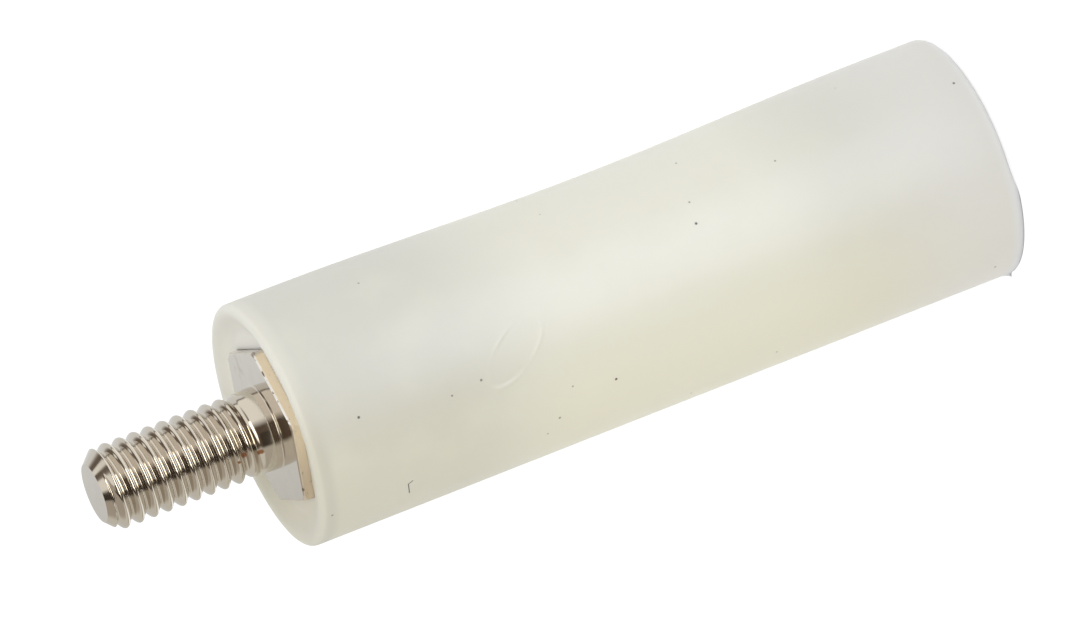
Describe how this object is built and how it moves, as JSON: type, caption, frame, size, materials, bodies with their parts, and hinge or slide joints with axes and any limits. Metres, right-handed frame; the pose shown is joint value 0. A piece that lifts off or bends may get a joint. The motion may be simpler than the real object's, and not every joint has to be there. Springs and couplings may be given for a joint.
{
  "type": "round insulating standoff",
  "caption": "Round nylon insulating standoff with a hex metal stud insert at one end and a hex tapped bush at the other, to hold a board or busbar clear of a panel.",
  "frame": {"origin": "centre of the tapped bush's face, where the standoff stands on its plain end", "axes": "+Z along the standoff's axis, from the tapped end towards the stud; the hex flats face +X and -X, and the shallow moulding sink is on +X"},
  "size_m": [0.0116, 0.0116, 0.0438],
  "materials": {
    "natural_nylon": "uncoloured moulded nylon, cream and slightly translucent, satin",
    "nickel_plated_stud": "bright nickel plate over brass",
    "nickel_plated_bush": "bright nickel plate over brass"
  },
  "bodies": {
    "root": {"nylon_body": "natural_nylon", "stud_insert": "nickel_plated_stud", "tapped_bush": "nickel_plated_bush"}
  },
  "joints": []
}
